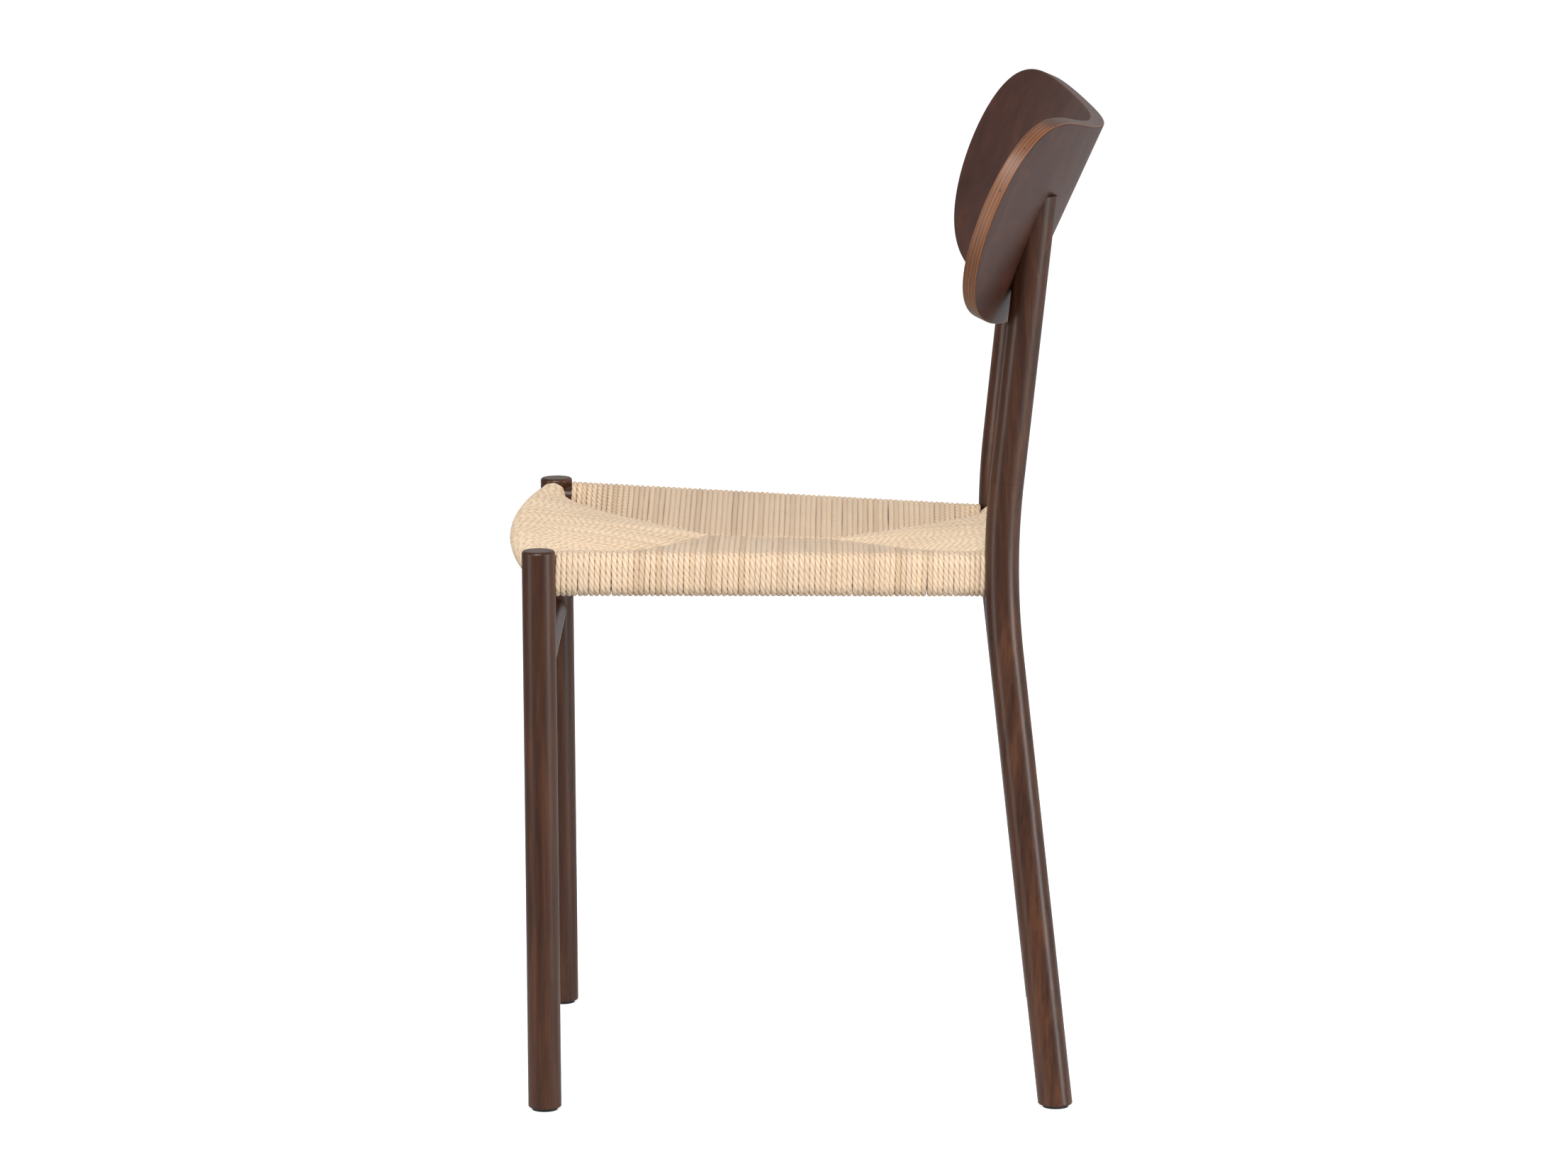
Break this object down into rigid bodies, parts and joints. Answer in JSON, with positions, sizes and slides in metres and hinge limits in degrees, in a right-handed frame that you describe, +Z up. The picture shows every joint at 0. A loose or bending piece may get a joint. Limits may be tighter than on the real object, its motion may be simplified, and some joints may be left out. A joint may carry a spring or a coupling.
{
  "type": "dining side chair",
  "caption": "Armless side chair with round splayed legs, a wide curved plywood back on scarfed rear legs, and a dished seat woven from paper cord.",
  "frame": {"origin": "on the floor, under the middle of the chair's bounding box", "axes": "+Z up, -Y towards the front of the seat, +X towards the sitter's left"},
  "size_m": [0.498, 0.4906, 0.8062],
  "materials": {
    "stained_wood": "satin lacquer over dark walnut stain, grain along each piece",
    "back_ply": "stained veneer face with lighter layered edges, satin",
    "cord": "three-ply twisted natural paper cord, matt",
    "cardboard": "grey-brown board, matt",
    "raw_beech": "unfinished beech, grooved",
    "steel": "zinc-plated",
    "glide": "black, slightly rough"
  },
  "bodies": {
    "root": {"backrest": "back_ply", "backrest_screws": "steel", "cord_tacks": "steel", "foot_glide_front_left": "glide", "foot_glide_front_right": "glide", "foot_glide_rear_left": "glide", "foot_glide_rear_right": "glide", "front_leg_left": "stained_wood", "front_leg_right": "stained_wood", "front_stretcher": "stained_wood", "rear_leg_dowels": "raw_beech", "rear_leg_lower_left": "stained_wood", "rear_leg_lower_right": "stained_wood", "rear_leg_upper_left": "stained_wood", "rear_leg_upper_right": "stained_wood", "screw_plugs": "stained_wood", "seat_cord_front": "cord", "seat_cord_left": "cord", "seat_cord_rear": "cord", "seat_cord_right": "cord", "seat_rail_front": "stained_wood", "seat_rail_left": "stained_wood", "seat_rail_rear": "stained_wood", "seat_rail_right": "stained_wood", "seat_stuffing_front": "cardboard", "seat_stuffing_left": "cardboard", "seat_stuffing_rear": "cardboard", "seat_stuffing_right": "cardboard"}
  },
  "joints": []
}
